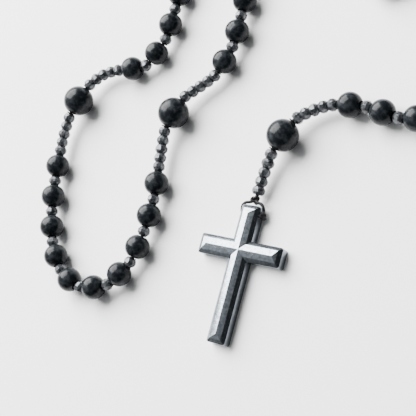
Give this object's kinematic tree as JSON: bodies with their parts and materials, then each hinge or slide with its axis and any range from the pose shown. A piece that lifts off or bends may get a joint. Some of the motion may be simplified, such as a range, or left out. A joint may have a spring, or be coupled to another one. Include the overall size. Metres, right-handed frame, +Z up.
{
  "type": "rosary",
  "caption": "Five-decade rosary in black stone beads with faceted grey metallic spacers and a polished dark cross, lying flat.",
  "frame": {"origin": "middle of the footprint, on the table that the rosary lies on", "axes": "+Z up off the table, -Y towards the foot of the cross and the front decade, +X to the wearer's right of the cross as drawn"},
  "size_m": [0.1538, 0.1907, 0.0102],
  "materials": {
    "black_stone": "polished",
    "hematite": "polished",
    "cord": "matte"
  },
  "bodies": {
    "back_loop": {"left_back_decade": "black_stone", "left_far_decade": "black_stone", "right_back_decade": "black_stone", "right_far_decade": "black_stone", "centre_bead": "black_stone"},
    "front_runs": {"left_cord": "cord", "right_cord": "cord", "left_spacer_1": "hematite", "left_spacer_2": "hematite", "left_spacer_3": "hematite", "left_spacer_4": "hematite", "left_spacer_5": "hematite", "right_spacer_1": "hematite", "right_spacer_2": "hematite", "right_spacer_3": "hematite", "right_spacer_4": "hematite", "right_spacer_5": "hematite"},
    "left_large": {"left_large_bead": "black_stone"},
    "right_large": {"right_large_bead": "black_stone"},
    "decade": {"decade_cord": "cord", "decade_spacer_1": "hematite", "decade_spacer_2": "hematite", "decade_spacer_3": "hematite", "decade_spacer_4": "hematite", "decade_spacer_5": "hematite", "decade_spacer_6": "hematite", "decade_spacer_7": "hematite", "decade_spacer_8": "hematite", "decade_spacer_9": "hematite"},
    "pendant_middle": {"pendant_cord": "cord", "pendant_spacer_1": "hematite", "pendant_spacer_2": "hematite"},
    "upper_run": {"upper_cord": "cord", "upper_spacer_1": "hematite", "upper_spacer_2": "hematite", "upper_spacer_3": "hematite", "upper_spacer_4": "hematite", "upper_spacer_5": "hematite"},
    "large_link": {"large_bead_cord": "cord"},
    "pendant_large": {"pendant_large_bead": "black_stone"},
    "lower_run": {"cross_cord": "cord", "lower_spacer_1": "hematite", "lower_spacer_2": "hematite", "lower_spacer_3": "hematite", "lower_spacer_4": "hematite", "lower_spacer_5": "hematite"},
    "cross_body": {"cross": "hematite"},
    "bead_1": {"decade_bead_1": "black_stone"},
    "bead_2": {"decade_bead_2": "black_stone"},
    "bead_3": {"decade_bead_3": "black_stone"},
    "bead_4": {"decade_bead_4": "black_stone"},
    "bead_5": {"decade_bead_5": "black_stone"},
    "bead_6": {"decade_bead_6": "black_stone"},
    "bead_7": {"decade_bead_7": "black_stone"},
    "bead_8": {"decade_bead_8": "black_stone"},
    "bead_9": {"decade_bead_9": "black_stone"},
    "bead_10": {"decade_bead_10": "black_stone"},
    "pendant_ball_1": {"pendant_bead_1": "black_stone"},
    "pendant_ball_2": {"pendant_bead_2": "black_stone"},
    "pendant_ball_3": {"pendant_bead_3": "black_stone"}
  },
  "joints": [
    {"name": "front_lift", "type": "hinge", "parent": "back_loop", "child": "front_runs", "pos_m": [-0.06954, -0.0216, 0.0051], "axis": [-1, 0, 0], "range_deg": [0, 18]},
    {"name": "decade_lift", "type": "hinge", "parent": "front_runs", "child": "decade", "pos_m": [-0.07338, -0.04625, 0.004], "axis": [-1, 0, 0], "range_deg": [0, 18]},
    {"name": "pendant_lift", "type": "hinge", "parent": "back_loop", "child": "pendant_middle", "pos_m": [0.05335, -0.01819, 0.004], "axis": [-0.154, 0.9881, 0], "range_deg": [0, 12]},
    {"name": "upper_run_lift", "type": "hinge", "parent": "pendant_middle", "child": "upper_run", "pos_m": [0.02394, -0.0172, 0.004], "axis": [-0.2671, 0.9637, 0], "range_deg": [0, 12]},
    {"name": "large_bead_sway", "type": "hinge", "parent": "upper_run", "child": "large_link", "pos_m": [0.01137, -0.02444, 0.0051], "axis": [0, 0, 1], "range_deg": [-7, 7]},
    {"name": "lower_run_lift", "type": "hinge", "parent": "large_link", "child": "lower_run", "pos_m": [0.00723, -0.03414, 0.0051], "axis": [-0.9719, 0.2353, 0], "range_deg": [0, 12]},
    {"name": "cross_swing", "type": "hinge", "parent": "lower_run", "child": "cross_body", "pos_m": [0.00426, -0.0543, 0.0019], "axis": [-1, 0, 0], "range_deg": [0, 75]},
    {"name": "left_large_spin", "type": "hinge", "parent": "front_runs", "child": "left_large", "pos_m": [-0.07133, -0.0266, 0.0051], "axis": [-0.337, -0.9415, 0], "continuous": true},
    {"name": "right_large_spin", "type": "hinge", "parent": "front_runs", "child": "right_large", "pos_m": [-0.03171, -0.02664, 0.0051], "axis": [0.2974, 0.9547, 0], "continuous": true},
    {"name": "decade_bead_1_spin", "type": "hinge", "parent": "decade", "child": "bead_1", "pos_m": [-0.07287, -0.05031, 0.004], "axis": [0.1248, -0.9922, 0], "continuous": true},
    {"name": "decade_bead_2_spin", "type": "hinge", "parent": "decade", "child": "bead_2", "pos_m": [-0.07097, -0.06097, 0.004], "axis": [0.2275, -0.9738, 0], "continuous": true},
    {"name": "decade_bead_3_spin", "type": "hinge", "parent": "decade", "child": "bead_3", "pos_m": [-0.06777, -0.07129, 0.004], "axis": [0.3718, -0.9283, 0], "continuous": true},
    {"name": "decade_bead_4_spin", "type": "hinge", "parent": "decade", "child": "bead_4", "pos_m": [-0.06251, -0.08066, 0.004], "axis": [0.6146, -0.7888, 0], "continuous": true},
    {"name": "decade_bead_5_spin", "type": "hinge", "parent": "decade", "child": "bead_5", "pos_m": [-0.05433, -0.08726, 0.004], "axis": [0.9163, -0.4005, 0], "continuous": true},
    {"name": "decade_bead_6_spin", "type": "hinge", "parent": "decade", "child": "bead_6", "pos_m": [-0.04411, -0.08783, 0.004], "axis": [0.9556, 0.2946, 0], "continuous": true},
    {"name": "decade_bead_7_spin", "type": "hinge", "parent": "decade", "child": "bead_7", "pos_m": [-0.03576, -0.08178, 0.004], "axis": [0.5756, 0.8177, 0], "continuous": true},
    {"name": "decade_bead_8_spin", "type": "hinge", "parent": "decade", "child": "bead_8", "pos_m": [-0.03179, -0.07196, 0.004], "axis": [0.1803, 0.9836, 0], "continuous": true},
    {"name": "decade_bead_9_spin", "type": "hinge", "parent": "decade", "child": "bead_9", "pos_m": [-0.03084, -0.0612, 0.004], "axis": [0.022, 0.9998, 0], "continuous": true},
    {"name": "decade_bead_10_spin", "type": "hinge", "parent": "decade", "child": "bead_10", "pos_m": [-0.03141, -0.0504, 0.004], "axis": [-0.1394, 0.9902, 0], "continuous": true},
    {"name": "pendant_bead_1_spin", "type": "hinge", "parent": "pendant_middle", "child": "pendant_ball_1", "pos_m": [0.04934, -0.01882, 0.004], "axis": [-0.9881, -0.154, 0], "continuous": true},
    {"name": "pendant_bead_2_spin", "type": "hinge", "parent": "pendant_middle", "child": "pendant_ball_2", "pos_m": [0.0387, -0.01812, 0.004], "axis": [-0.9775, 0.2111, 0], "continuous": true},
    {"name": "pendant_bead_3_spin", "type": "hinge", "parent": "pendant_middle", "child": "pendant_ball_3", "pos_m": [0.02801, -0.01699, 0.004], "axis": [-0.9987, -0.0515, 0], "continuous": true},
    {"name": "pendant_large_spin", "type": "hinge", "parent": "large_link", "child": "pendant_large", "pos_m": [0.0093, -0.02929, 0.0051], "axis": [-0.3926, -0.9197, 0], "continuous": true}
  ]
}
